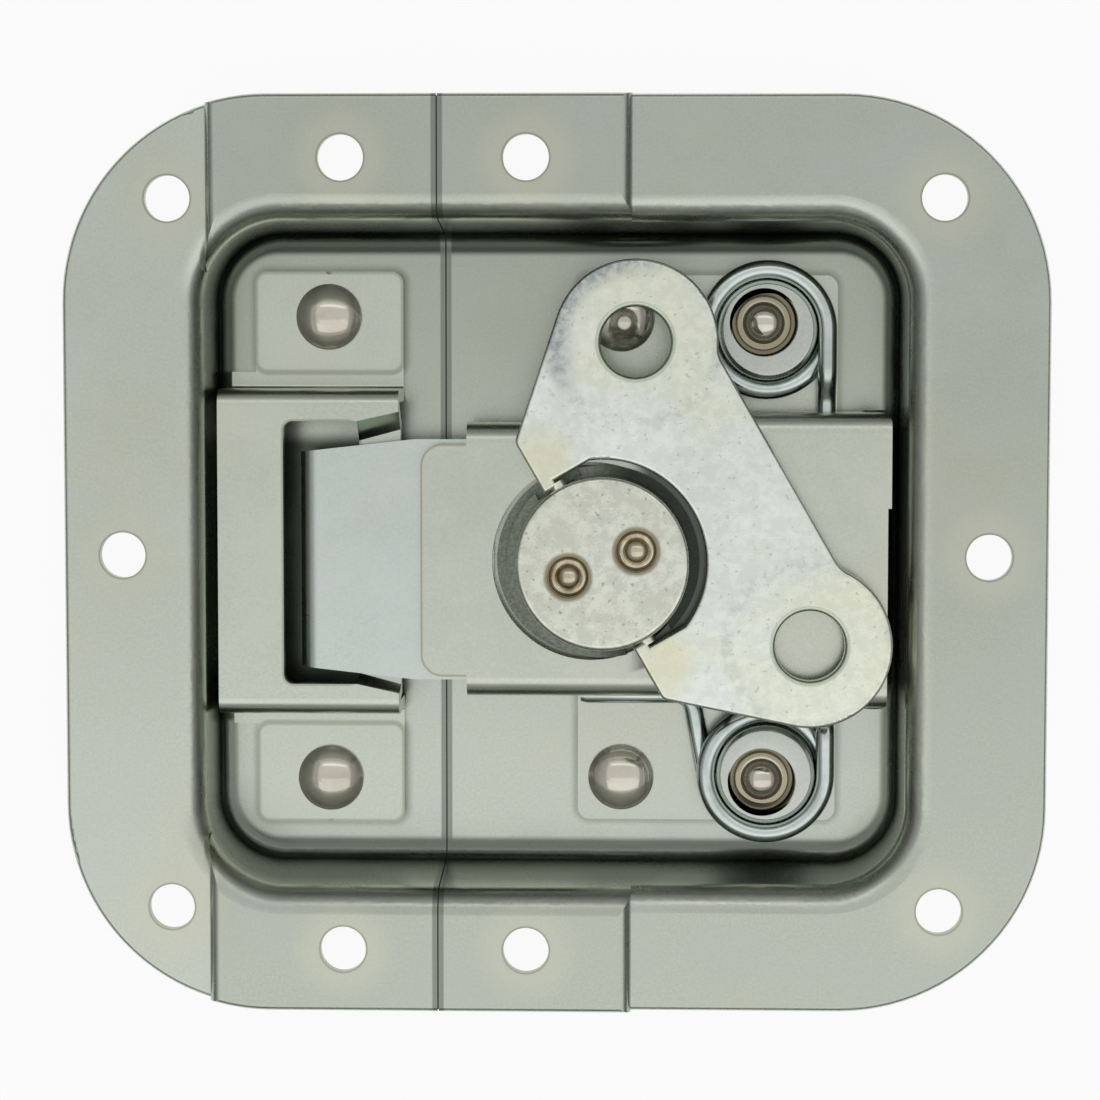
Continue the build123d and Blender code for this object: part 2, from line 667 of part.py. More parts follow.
# ---- build and write ---------------------------------------------------------------------------
def build():
    """Every node by name."""
    nodes = {}
    whole = dish()
    for drill in fixing_holes().children:
        whole -= drill
    for side in (-1, 1):
        whole -= rivet_drill(strike_rivet_x, side * strike_rivet_y, rivet_shank_diameter / 2)
        whole -= rivet_drill(bracket_rivet_x, side * bracket_rivet_y, rivet_shank_diameter / 2)
        whole -= rivet_drill(post_x, spring_y + side * post_y, post_shank_diameter / 2)
    half_gap = seam_gap / 2
    wide = (-EVERYTHING, EVERYTHING, -1, band_top + 1)
    nodes["keeper_dish"] = whole & slab(-EVERYTHING, seam_x - half_gap, *wide)
    nodes["latch_dish"] = whole & slab(seam_x + half_gap, EVERYTHING, *wide)
    strike = keeper_strike()
    for side, name in ((1, "upper"), (-1, "lower")):
        strike -= rivet_drill(strike_rivet_x, side * strike_rivet_y, rivet_shank_diameter / 2)
        nodes["keeper_rivet_" + name] = rivet(
            strike_rivet_x, side * strike_rivet_y, floor_top + strike_sheet,
            rivet_head_diameter / 2, rivet_head_height, rivet_shank_diameter / 2,
        )
        nodes["bracket_rivet_" + name] = rivet(
            bracket_rivet_x, side * bracket_rivet_y, plate_top,
            rivet_head_diameter / 2, rivet_head_height, rivet_shank_diameter / 2,
        )
        nodes["spring_collar_" + name] = spring_collar(side)
        nodes["spring_post_" + name] = spring_post(side)
    nodes["keeper_strike"] = strike
    nodes["base_bracket"] = base_bracket()
    nodes["pivot_pin"] = pivot_pin()
    nodes["lift_spring"] = lift_spring()
    nodes["latch_frame"] = latch_frame()
    nodes["frame_backplate"] = frame_backplate()
    nodes["hook_plate"] = hook_plate()
    nodes["hub_cam"] = hub_cam()
    nodes["hub_cap"] = hub_cap()
    nodes["hub_retainer"] = hub_retainer()
    for (x, y), name in zip(hub_rivet_spots(), ("left", "right")):
        nodes["hub_rivet_" + name] = hub_rivet(x, y)
    nodes["butterfly_handle"] = butterfly_handle()
    return nodes


if __name__ == "__main__":
    os.makedirs("parts", exist_ok=True)
    for name, solid in build().items():
        export_step(solid, "parts/" + name + ".step")
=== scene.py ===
"""Looks of a recessed butterfly latch: every piece's finish, and the turned and wound pieces as
smooth surfaces. Metres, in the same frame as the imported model: +X from keeper to latch, +Z out."""

import bpy
import numpy as np
from mathutils import Matrix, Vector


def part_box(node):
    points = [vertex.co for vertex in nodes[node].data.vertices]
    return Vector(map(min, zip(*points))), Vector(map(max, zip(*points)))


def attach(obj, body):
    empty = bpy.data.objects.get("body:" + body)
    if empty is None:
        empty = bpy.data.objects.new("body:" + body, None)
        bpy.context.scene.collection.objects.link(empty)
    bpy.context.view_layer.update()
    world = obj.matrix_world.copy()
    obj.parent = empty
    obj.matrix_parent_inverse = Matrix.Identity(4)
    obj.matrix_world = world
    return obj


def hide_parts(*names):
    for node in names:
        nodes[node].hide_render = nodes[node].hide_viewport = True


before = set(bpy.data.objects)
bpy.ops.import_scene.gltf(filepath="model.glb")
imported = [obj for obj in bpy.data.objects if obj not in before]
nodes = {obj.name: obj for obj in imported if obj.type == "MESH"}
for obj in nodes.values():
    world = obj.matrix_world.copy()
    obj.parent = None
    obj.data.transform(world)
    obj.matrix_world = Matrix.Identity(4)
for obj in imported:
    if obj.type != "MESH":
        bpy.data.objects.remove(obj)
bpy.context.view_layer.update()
MM = 0.001

# ---- Dish ------------------------------------------------------------------------------------
# The recess and its flange: 1.2 mm steel drawn in one stroke, cut into a keeper half and a latch
# half, then zinc plated. The plating is satin, grey with a green cast, and yellower at the holes.


def add(tree, kind, sockets=None, **settings):
    """Adds one shader node; sockets maps an input's name or number to a value or another output."""
    node = tree.nodes.new("ShaderNode" + kind)
    for key, value in settings.items():
        setattr(node, key, value)
    for key, value in (sockets or {}).items():
        if isinstance(value, bpy.types.NodeSocket):
            tree.links.new(value, node.inputs[key])
        else:
            node.inputs[key].default_value = value
    return node


def noise(tree, place, scale, detail=2.0, roughness=0.5, distortion=0.0):
    """Value of a noise field read at place, with scale waves to the metre."""
    sockets = {"Vector": place, "Scale": scale, "Detail": detail, "Roughness": roughness,
               "Distortion": distortion}
    return add(tree, "TexNoise", sockets).outputs["Fac"]


def ramp(tree, value, low, high, to_low=0.0, to_high=1.0):
    """Value carried from the span low..high to to_low..to_high, held at its ends."""
    sockets = {"Value": value, "From Min": low, "From Max": high, "To Min": to_low, "To Max": to_high}
    return add(tree, "MapRange", sockets, interpolation_type="SMOOTHSTEP").outputs["Result"]


def blend(tree, amount, first, second):
    """Colour mixed from first to second by amount."""
    node = add(tree, "Mix", {"Factor": amount}, data_type="RGBA")
    for key, value in ((6, first), (7, second)):
        if isinstance(value, bpy.types.NodeSocket):
            tree.links.new(value, node.inputs[key])
        else:
            node.inputs[key].default_value = (*value, 1.0)
    return node.outputs[2]


def times(tree, first, second):
    """Product of two values."""
    return add(tree, "Math", {0: first, 1: second}, operation="MULTIPLY").outputs[0]


def plated(name, face, cloud, stain, stained=0.3, gloss=0.26, scratches=0.0, specks=0.0, mottled=0.0,
           grain=0.5):
    """Zinc-plated steel. Clouds of a second tone drift over the face at 12 mm and stains of a third at
    25 mm; where asked, a 1 mm mottle, dark pits of 0.3 mm and fine scratches in two directions break
    it up; the gloss wanders with the clouds and a 0.15 mm grain lifts the surface."""
    material = bpy.data.materials.new(name)
    material.use_nodes = True
    tree = material.node_tree
    shader = tree.nodes["Principled BSDF"]
    place = add(tree, "TexCoord").outputs["Object"]
    clouds = noise(tree, place, 85.0, detail=5.0, roughness=0.62)
    colour = blend(tree, ramp(tree, clouds, 0.36, 0.68), face, cloud)
    stains = noise(tree, place, 40.0, detail=3.0, distortion=0.8)
    colour = blend(tree, ramp(tree, stains, 0.52, 0.74, 0.0, stained), colour, stain)
    fine = noise(tree, place, 3300.0, detail=2.0)
    colour = blend(tree, ramp(tree, fine, 0.3, 0.75, 0.0, 0.10), colour, (1.0, 1.0, 1.0))
    if mottled:
        patches = noise(tree, place, 650.0, detail=6.0, roughness=0.72)
        colour = blend(tree, ramp(tree, patches, 0.42, 0.60, mottled, 0.0), colour,
                       tuple(0.62 * c for c in face))
    if specks:
        pits = noise(tree, place, 1500.0, detail=3.0, roughness=0.6)
        colour = blend(tree, ramp(tree, pits, 0.635, 0.68, 0.0, specks), colour,
                       tuple(0.25 * c for c in face))
    if scratches:
        for turn, stretch in ((0.45, (90.0, 3600.0, 90.0)), (-0.9, (70.0, 2900.0, 70.0))):
            turned = add(tree, "Mapping", {"Vector": place, "Rotation": (0.0, 0.0, turn),
                                           "Scale": stretch})
            lines = noise(tree, turned.outputs["Vector"], 1.0, detail=1.0)
            shown = ramp(tree, lines, 0.68, 0.74, 0.0, scratches)
            colour = blend(tree, shown, colour, tuple(min(1.0, 1.25 * c) for c in face))
    tree.links.new(colour, shader.inputs["Base Color"])
    tree.links.new(ramp(tree, clouds, 0.3, 0.7, gloss - 0.03, gloss + 0.05), shader.inputs["Roughness"])
    grit = noise(tree, place, 5200.0, detail=2.0)
    bump = add(tree, "Bump", {"Strength": grain, "Distance": 0.004 * MM, "Height": grit})
    tree.links.new(bump.outputs["Normal"], shader.inputs["Normal"])
    shader.inputs["Metallic"].default_value = 1.0
    return material


def mark(material, amount, colour):
    """Lays a colour over a finish, by amount."""
    tree = material.node_tree
    shader = tree.nodes["Principled BSDF"]
    under = shader.inputs["Base Color"].links[0].from_socket
    tree.links.new(blend(tree, amount, under, colour), shader.inputs["Base Color"])


def off_outline(tree, centre, half=(0.0, 0.0), corner=0.0, turn=0.0, folded=False):
    """Distance in plan from the outline of a rounded rectangle, or of a circle when half is 0:
    | length(max(|p - centre| - half, 0)) - corner |, in millimetres in and metres out. Folded, the
    outline is repeated across both axes."""
    place = add(tree, "TexCoord").outputs["Object"]
    if folded:
        place = add(tree, "VectorMath", {0: place}, operation="ABSOLUTE").outputs[0]
    local = add(tree, "Mapping", {"Vector": place, "Location": (centre[0] * MM, centre[1] * MM, 0.0),
                                  "Rotation": (0.0, 0.0, turn), "Scale": (1.0, 1.0, 1e6)},
                vector_type="TEXTURE").outputs["Vector"]
    outside = add(tree, "VectorMath", {0: local}, operation="ABSOLUTE").outputs[0]
    outside = add(tree, "VectorMath", {0: outside, 1: (half[0] * MM, half[1] * MM, 0.0)},
                  operation="SUBTRACT").outputs[0]
    outside = add(tree, "VectorMath", {0: outside, 1: (0.0, 0.0, 0.0)}, operation="MAXIMUM").outputs[0]
    length = add(tree, "VectorMath", {0: outside}, operation="LENGTH").outputs["Value"]
    off = add(tree, "Math", {0: length, 1: corner * MM}, operation="SUBTRACT").outputs[0]
    return add(tree, "Math", {0: off}, operation="ABSOLUTE").outputs[0]


def near(tree, distance, full, gone, strength=1.0):
    """Strength within full millimetres of something, fading to nothing at gone."""
    return ramp(tree, distance, full * MM, gone * MM, strength, 0.0)


def along(tree, axis):
    """Object coordinate along X, Y or Z."""
    place = add(tree, "TexCoord").outputs["Object"]
    return add(tree, "SeparateXYZ", {0: place}).outputs[axis]


def finish_node(node, material):
    """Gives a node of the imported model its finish."""
    mesh = nodes[node].data
    mesh.materials.clear()
    mesh.materials.append(material)


seam_x = -13.2
band_left, band_right = -39.5, 7.4
wall_shade, floor_shade, edge_shade = (0.10, 0.125, 0.09), (0.22, 0.23, 0.17), (0.05, 0.065, 0.045)
flange_shade, contact_shadow, under_strike_shadow = (0.20, 0.23, 0.18), (0.16, 0.18, 0.13), (0.05, 0.07, 0.045)
halo_yellow, burr_green, seam_grey = (0.62, 0.62, 0.50), (0.20, 0.26, 0.14), (0.19, 0.22, 0.18)
dish_zinc = plated("dish_zinc", (0.545, 0.59, 0.505), (0.565, 0.61, 0.54), (0.60, 0.59, 0.45))
tree = dish_zinc.node_tree
across, inward, height = along(tree, "X"), along(tree, "Y"), along(tree, "Z")

# The inner faces look up and the outer ones down, and only the inner ones get painted shade: darker
# walls, a darker upper floor and a dark band where the floor meets the walls.
facing = add(tree, "SeparateXYZ", {0: add(tree, "TexCoord").outputs["Normal"]}).outputs["Z"]
within = ramp(tree, facing, -0.05, 0.05)
wall = times(tree, ramp(tree, height, 1.5 * MM, 4.5 * MM),
             ramp(tree, height, 10.5 * MM, 14.6 * MM, 1.0, 0.0))
wall = times(tree, wall, within)
wall_share = ramp(tree, inward, -25.0 * MM, 25.0 * MM, 0.55, 0.78)
mark(dish_zinc, times(tree, wall, wall_share), wall_shade)
low = times(tree, within, ramp(tree, height, 2.0 * MM, 3.0 * MM, 1.0, 0.0))
upper_floor = ramp(tree, inward, 5.0 * MM, 28.0 * MM, 0.0, 0.3)
mark(dish_zinc, times(tree, low, upper_floor), floor_shade)
floor_edge = off_outline(tree, (0.0, 0.0), half=(32.8, 29.2), corner=7.6)
foot = times(tree, near(tree, floor_edge, 1.8, 2.6), ramp(tree, height, 2.4 * MM, 4.0 * MM, 1.0, 0.0))
foot = times(tree, foot, within)
foot_share = ramp(tree, inward, -25.0 * MM, 25.0 * MM, 0.72, 0.93)
mark(dish_zinc, times(tree, foot, foot_share), edge_shade)

# Painted shade: the raised band is darkest at its left bend, and the right flange is darker than the
# left one.
above = ramp(tree, height, 15.0 * MM, 15.4 * MM)
left_bend = times(tree, ramp(tree, across, band_left * MM, (band_left + 1.5) * MM, 0.45, 0.0), above)
left_bend = times(tree, left_bend, ramp(tree, across, (band_left - 0.2) * MM, band_left * MM))
mark(dish_zinc, left_bend, flange_shade)
band = times(tree, above, ramp(tree, across, (band_left + 1.0) * MM, (band_left + 1.3) * MM))
band_share = ramp(tree, across, band_right * MM, (band_right + 1.4) * MM, 0.22, 0.4)
mark(dish_zinc, times(tree, band_share, band), flange_shade)

# Painted shadow along the outlines of the strike's tabs on the left and of the bracket on the right,
# and painted shadow on the floor under the strike.
strike_tabs = ((26.8, 26.6), (7.3, 4.5), -1.0)
bracket_plate = ((17.55, 0.0), (13.75, 30.65), 1.0)
for centre, half, side in (strike_tabs, bracket_plate):
    edge = off_outline(tree, centre, half=half, corner=1.4, folded=True)
    beside = times(tree, low, ramp(tree, across, 0.0, side * MM))
    mark(dish_zinc, times(tree, near(tree, edge, 0.1, 1.1, 0.45), beside), contact_shadow)
under_strike = off_outline(tree, (-29.0, -3.0), half=(10.0, 15.0))
hidden = times(tree, near(tree, under_strike, 0.0, 2.0), low)
mark(dish_zinc, times(tree, hidden, 0.9), under_strike_shadow)

# Each fixing hole has a yellow halo and a fine green rim.
hole_radius = 2.6
band_holes = [((x, y), False) for x in (-24.05, -3.15) for y in (-45.0, 45.0)]
for centre, folded in [((43.9, 40.5), True), ((49.25, 0.0), True)] + band_holes:
    halo = off_outline(tree, centre, corner=hole_radius, folded=folded)
    mark(dish_zinc, near(tree, halo, 0.6, 4.5, 0.45), halo_yellow)
    mark(dish_zinc, near(tree, halo, 0.08, 0.3, 0.6), burr_green)
from_seam = add(tree, "Math", {0: across, 1: seam_x * MM}, operation="SUBTRACT").outputs[0]
from_seam = add(tree, "Math", {0: from_seam}, operation="ABSOLUTE").outputs[0]
mark(dish_zinc, near(tree, from_seam, 0.55, 0.75, 0.75), seam_grey)
finish_node("keeper_dish", dish_zinc)
finish_node("latch_dish", dish_zinc)

# ---- Joint between the dish halves -------------------------------------------------------------
# The halves butt against each other at x = -13.2. The joint is closed by a dark strip, 0.18 mm wide and
# just under the surface, from the flange down the wall and over the floor: painted shade that stands in
# for the shadow in the gap.


def fillets(points, radii, steps=6):
    """Profile through points with each corner rounded: the corner's two tangent points are joined
    by a quadratic Bezier arc, c = (1-t)^2 a + 2t(1-t) p + t^2 b."""
    points = np.asarray(points, float)
    out = [points[:1]]
    t = np.linspace(0.0, 1.0, steps)[:, None]
    for before, corner, after, radius in zip(points, points[1:], points[2:], radii):
        a = corner + (before - corner) * radius / np.linalg.norm(before - corner)
        b = corner + (after - corner) * radius / np.linalg.norm(after - corner)
        out.append((1 - t) ** 2 * a + 2 * t * (1 - t) * corner + t ** 2 * b)
    return np.vstack(out + [points[-1:]])


def put_mesh(name, vertices, faces, material, body):
    """Makes an object from vertices in millimetres and faces, smooth except at its sharp edges."""
    mesh = bpy.data.meshes.new(name)
    mesh.from_pydata((np.asarray(vertices) * MM).tolist(), [], [list(map(int, f)) for f in faces])
    mesh.shade_smooth()
    mesh.set_sharp_from_angle(angle=0.6)
    mesh.materials.append(material)
    piece = bpy.data.objects.new(name, mesh)
    bpy.context.scene.collection.objects.link(piece)
    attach(piece, body)
    return piece


def joint_line(path, depth, half_width, thickness):
    """Strip along a path of (y, z): four corners a point, x = seam_x -/+ half_width and the path
    moved down its own normal by depth and by depth + thickness."""
    path = np.asarray(path, float)
    ahead = np.gradient(path, axis=0)
    ahead /= np.linalg.norm(ahead, axis=1)[:, None]
    down = np.stack([ahead[:, 1], -ahead[:, 0]], -1)
    top, bottom = path + depth * down, path + (depth + thickness) * down
    corners = [np.column_stack([np.full(len(path), seam_x + side * half_width), edge])
               for side, edge in ((-1, top), (1, top), (1, bottom), (-1, bottom))]
    vertices = np.stack(corners, 1).reshape(-1, 3)
    index = np.arange(len(vertices)).reshape(-1, 4)
    low, high = index[:-1], index[1:]
    quads = np.stack([low, high, np.roll(high, -1, 1), np.roll(low, -1, 1)], -1).reshape(-1, 4)
    return vertices, quads.tolist() + [index[0].tolist(), index[-1][::-1].tolist()]


gap_shade_strip = bpy.data.materials.new("joint_gap_shade")
gap_shade_strip.use_nodes = True
shader = gap_shade_strip.node_tree.nodes["Principled BSDF"]
shade_noise = noise(gap_shade_strip.node_tree, add(gap_shade_strip.node_tree, "TexCoord").outputs["Object"], 300.0)
gap_shade_strip.node_tree.links.new(blend(gap_shade_strip.node_tree, shade_noise, (0.02, 0.025, 0.02), (0.05, 0.06, 0.04)),
                            shader.inputs["Base Color"])
shader.inputs["Roughness"].default_value = 0.6
half_path = fillets([(0.0, 1.2), (36.8, 1.2), (38.2, 16.7), (51.9, 16.7)], (1.7, 2.8), steps=8)
joint_path = np.vstack([(half_path * (-1, 1))[::-1], half_path[1:]])
vertices, faces = joint_line(joint_path, depth=0.25, half_width=0.09, thickness=0.5)
put_mesh("dish_joint", vertices, faces, gap_shade_strip, "root")

# ---- Keeper strike ---------------------------------------------------------------------------
# The bent bridge that the hook catches: 1.5 mm sheet with two feet, two side walls, a C-shaped
# top and a lowered cross-bar. Zinc plated like the dish, a little lighter and smoother.

strike_zinc = plated("strike_zinc", (0.56, 0.61, 0.52), (0.60, 0.64, 0.55), (0.62, 0.61, 0.48))
tree = strike_zinc.node_tree
# Painted shade: dark green lines along the window's edge and along the tabs' outlines.
window = off_outline(tree, (-27.15, 0.0), half=(3.15, 14.1), corner=1.1)
mark(strike_zinc, near(tree, window, 0.1, 0.35, 0.5), (0.20, 0.25, 0.16))
tab = off_outline(tree, (26.8, 26.6), half=(7.3, 4.5), corner=1.4, folded=True)
mark(strike_zinc, near(tree, tab, 0.1, 0.5, 0.5), (0.20, 0.25, 0.16))
finish_node("keeper_strike", strike_zinc)

# ---- Rivets of the strike and the base bracket -------------------------------------------------
# Four steel rivets with domed heads, their feet flared flush with the dish's back. Turned, nickel
# plated and set cold, so the heads stay bright.


def turned_surface(profile, segments=96):
    """Surface of revolution about Z: x = r cos a, y = r sin a, z = h for each (r, h) of the
    profile. It runs from the lower pole to the upper one, with r = 0 at both ends."""
    profile = np.asarray(profile, float)
    angle = np.linspace(0.0, 2 * np.pi, segments, endpoint=False)
    radius, height = profile[1:-1, 0][:, None], profile[1:-1, 1][:, None]
    rings = np.stack([radius * np.cos(angle), radius * np.sin(angle), height + 0 * angle], axis=-1)
    poles = np.array([[0, 0, profile[0, 1]], [0, 0, profile[-1, 1]]])
    vertices = np.vstack([poles, rings.reshape(-1, 3)])
    index = 2 + np.arange(rings.shape[0] * segments).reshape(-1, segments)
    low, high = index[:-1], index[1:]
    quads = np.stack([low, np.roll(low, -1, 1), np.roll(high, -1, 1), high], -1).reshape(-1, 4)
    start = np.stack([0 * index[0], np.roll(index[0], -1), index[0]], -1)
    end = np.stack([0 * index[-1] + 1, index[-1], np.roll(index[-1], -1)], -1)
    return vertices, start.tolist() + quads.tolist() + end.tolist()


def middle(node):
    """Centre of a node's box in plan, in millimetres."""
    low, high = (np.array(corner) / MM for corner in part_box(node))
    return (low + high) / 2 * (1, 1, 0)


def bright_metal(name, face, shade, gloss, mottle=160.0):
    """Bright plated or bare metal: the face wanders to a second tone in patches of 6 mm and
    fine rubbing marks spread the gloss."""
    material = bpy.data.materials.new(name)
    material.use_nodes = True
    tree = material.node_tree
    shader = tree.nodes["Principled BSDF"]
    place = add(tree, "TexCoord").outputs["Object"]
    patches = noise(tree, place, mottle, detail=4.0, roughness=0.6)
    tree.links.new(blend(tree, ramp(tree, patches, 0.42, 0.66), face, shade),
                   shader.inputs["Base Color"])
    rubbing = noise(tree, place, 1800.0, detail=3.0)
    tree.links.new(ramp(tree, rubbing, 0.3, 0.7, gloss, gloss + 0.06), shader.inputs["Roughness"])
    ripple = noise(tree, place, 420.0, detail=2.0)
    bump = add(tree, "Bump", {"Strength": 0.2, "Distance": 0.02 * MM, "Height": ripple})
    tree.links.new(bump.outputs["Normal"], shader.inputs["Normal"])
    shader.inputs["Metallic"].default_value = 1.0
    return material


def dome(radius, low, high, steps=14):
    """Profile of a spherical cap from its rim up to the pole, as (r, h)."""
    ball = (radius ** 2 + (high - low) ** 2) / (2 * (high - low))
    angle = np.linspace(np.arcsin(min(1.0, radius / ball)), 0.0, steps)
    return np.stack([ball * np.sin(angle), high - ball + ball * np.cos(angle)], -1)


def set_rivet(node, head, seat, top, shank, foot=3.08, flare=0.9):
    """Rivet: flared foot on the dish's back, shank, and a domed head on its seat."""
    rim = 0.35
    stem = fillets([(0, 0), (foot, 0), (shank, flare), (shank, seat), (head, seat), (head, seat + rim)],
                   (0.08, 0.05, 0.02, 0.12))
    vertices, faces = turned_surface(np.vstack([stem, dome(head - 0.03, seat + rim + 0.02, top)]))
    piece = put_mesh(node + "_turned", vertices + middle(node), faces, rivet_nickel, "root")
    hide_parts(node)


rivet_nickel = bright_metal("rivet_nickel", (0.74, 0.71, 0.61), (0.64, 0.60, 0.50), gloss=0.09)
rivet_nickel.node_tree.nodes["Principled BSDF"].inputs["Metallic"].default_value = 0.72
for side in ("upper", "lower"):
    set_rivet("keeper_rivet_" + side, head=3.85, seat=2.7, top=4.9, shank=2.4)
    set_rivet("bracket_rivet_" + side, head=3.85, seat=2.4, top=4.6, shank=2.4)

# ---- Base bracket ------------------------------------------------------------------------------
# The plate under the latch: 1.2 mm sheet riveted to the dish, with two ears bent up for the pivot.

bracket_zinc = plated("bracket_zinc", (0.54, 0.58, 0.50), (0.58, 0.62, 0.54), (0.60, 0.58, 0.44))
finish_node("base_bracket", bracket_zinc)

# ---- Spring collars and their posts --------------------------------------------------------------
# Two turned bushes that the spring is wound round, each held by a stepped rivet in a deep well that
# is bored off-centre. The top face is flat from the lathe; the well has gone brown.


def turned_ring(loop, shift, segments=96):
    """Surface of a closed loop of (r, h, w) carried about Z: x = r cos a + w shift_x,
    y = r sin a + w shift_y, z = h, so the points with w = 1 turn about the well's centre."""
    loop = np.asarray(loop, float)
    angle = np.linspace(0.0, 2 * np.pi, segments, endpoint=False)
    radius, height, weight = (loop[:, k][:, None] for k in range(3))
    rings = np.stack([radius * np.cos(angle) + weight * shift[0],
                      radius * np.sin(angle) + weight * shift[1], height + 0 * angle], axis=-1)
    index = np.arange(rings.shape[0] * segments).reshape(-1, segments)
    above = np.roll(index, -1, 0)
    quads = np.stack([index, np.roll(index, -1, 1), np.roll(above, -1, 1), above], -1)
    return rings.reshape(-1, 3), quads.reshape(-1, 4).tolist()


collar_zinc = plated("collar_zinc", (0.52, 0.56, 0.50), (0.56, 0.60, 0.55), (0.50, 0.50, 0.40),
                     grain=0.8)
outside = fillets([(1.92, 2.4), (5.75, 2.4), (5.75, 6.3), (5.25, 6.8), (4.2, 6.8)], (0.1, 0.15, 0.15))
well = fillets([(4.2, 6.8), (3.85, 6.8), (3.85, 3.8), (1.92, 3.8)], (0.15, 0.4))[1:]
collar_loop = np.vstack([np.column_stack([outside, np.zeros(len(outside))]),
                         np.column_stack([well, np.ones(len(well))])])
collar_loop[0, 2] = 1.0
stem = fillets([(0, 0), (3.08, 0), (1.9, 0.9), (1.9, 3.8), (3.2, 3.8), (3.2, 4.5), (2.45, 4.5)],
               (0.08, 0.05, 0.02, 0.1, 0.2))
post_profile = np.vstack([stem, dome(2.38, 4.62, 6.1)])
post_nickel = bright_metal("post_nickel", (0.72, 0.69, 0.61), (0.60, 0.56, 0.47), gloss=0.07)
tree = post_nickel.node_tree
from_post = off_outline(tree, (24.0, 26.7), folded=True)
post_nickel.node_tree.nodes["Principled BSDF"].inputs["Metallic"].default_value = 0.85
mark(post_nickel, ramp(tree, from_post, 2.3 * MM, 2.6 * MM, 0.0, 0.85), (0.38, 0.34, 0.22))
for side, sign in (("upper", 1), ("lower", -1)):
    vertices, faces = turned_ring(collar_loop, shift=(-0.4, 0.8 * sign))
    collar = put_mesh("spring_collar_turned_" + side, vertices + middle("spring_collar_" + side), faces,
                      collar_zinc, "root")
    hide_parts("spring_collar_" + side)
    vertices, faces = turned_surface(post_profile)
    post = put_mesh("spring_post_turned_" + side, vertices + middle("spring_post_" + side), faces,
                    post_nickel, "root")
    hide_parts("spring_post_" + side)
tree = collar_zinc.node_tree
for side, sign in (("upper", 1), ("lower", -1)):
    in_well = off_outline(tree, (24.0, -0.2 + 26.7 * sign))
    brown = times(tree, near(tree, in_well, 3.8, 3.95),
                  ramp(tree, along(tree, "Z"), 6.5 * MM, 6.8 * MM, 1.0, 0.0))
    mark(collar_zinc, times(tree, brown, 0.9), (0.22, 0.19, 0.11))

# ---- Lift spring -------------------------------------------------------------------------------
# One length of 2.2 mm spring wire, wound round both collars: a free leg under each side of the
# frame and a run across between the coils. Cold wound and bright zinc plated.


def tube(path, radius, segments=20):
    """Round wire along a path: ring i is path[i] + radius (cos a * side + sin a * up), where side
    and up are square to the path; both ends close in a point after a short taper."""
    path = np.asarray(path, float)
    along = np.gradient(path, axis=0)
    along /= np.linalg.norm(along, axis=1)[:, None]
    side = np.cross(along, (0, 0, 1.0))
    side /= np.linalg.norm(side, axis=1)[:, None]
    up = np.cross(side, along)
    size = np.full(len(path), radius)
    size[[0, -1]] = 0.82 * radius
    angle = np.linspace(0.0, 2 * np.pi, segments, endpoint=False)
    spread = side[:, None] * np.cos(angle)[:, None] + up[:, None] * np.sin(angle)[:, None]
    rings = path[:, None] + size[:, None, None] * spread
    vertices = np.vstack([path[:1], path[-1:], rings.reshape(-1, 3)])
    index = 2 + np.arange(len(path) * segments).reshape(-1, segments)
    low, high = index[:-1], index[1:]
    quads = np.stack([low, high, np.roll(high, -1, 1), np.roll(low, -1, 1)], -1).reshape(-1, 4)
    start = np.stack([0 * index[0], index[0], np.roll(index[0], -1)], -1)
    end = np.stack([0 * index[-1] + 1, np.roll(index[-1], -1), index[-1]], -1)
    return vertices, start.tolist() + quads.tolist() + end.tolist()


def wound_side(collar, leg_y, run_y):
    """Half of the spring on the +Y side, about a collar at (cx, cy) with R the coil's radius. A leg
    along X turns towards the coil and touches it; the turns are x = cx + R cos a, y = cy + R sin a
    with z rising by one pitch in the half turn next to the frame; the run leaves along -Y and dips
    to pass under the frame's wall. Rises follow t^2 (3 - 2t)."""
    coil, low, high, leg_z = 6.95, 3.6, 5.9, 4.15
    knee = np.array([15.7, leg_y])
    reach = knee - collar
    touch = np.arctan2(reach[1], reach[0]) + 2 * np.pi - np.arccos(coil / np.hypot(*reach))
    angle = np.linspace(touch, -2 * np.pi, 132)
    t = np.clip(-angle / np.pi, 0.0, 1.0)
    turns = np.stack([collar[0] + coil * np.cos(angle), collar[1] + coil * np.sin(angle),
                      low + (high - low) * t ** 2 * (3 - 2 * t)], -1)
    leg = fillets([(2.8, leg_y, leg_z), (*knee, leg_z), turns[0]], (2.0,), steps=10)
    lead = np.linspace(leg[0], leg[1], 16)[:-1]
    rise = np.linspace(leg[-2], leg[-1], 8)[1:-1]
    y = np.linspace(collar[1], 0.0, 50)[1:]
    t = np.clip((collar[1] - 4.7 - y) / (collar[1] - 4.7 - run_y), 0.0, 1.0)
    run = np.stack([turns[-1, 0] + 0 * y, y, high + (leg_z - high) * t ** 2 * (3 - 2 * t)], -1)
    return np.vstack([lead, leg[1:-1], rise, turns, run])


spring_wire = bright_metal("spring_wire", (0.64, 0.71, 0.69), (0.52, 0.59, 0.55), gloss=0.16)
upper_half = wound_side(collar=np.array([24.4, 25.7]), leg_y=15.35, run_y=17.4)
lower_half = wound_side(collar=np.array([24.4, 26.1]), leg_y=16.95, run_y=19.0)
wire_path = np.vstack([upper_half, (lower_half * (1, -1, 1))[::-1][1:]])
vertices, faces = tube(wire_path, radius=1.1)
lift_spring = put_mesh("lift_spring_wire", vertices, faces, spring_wire, "root")
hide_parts("lift_spring")

# ---- Pivot pin ---------------------------------------------------------------------------------
# The steel pin that the guide frame lifts about, through both ears and both side walls, its ends
# peened.

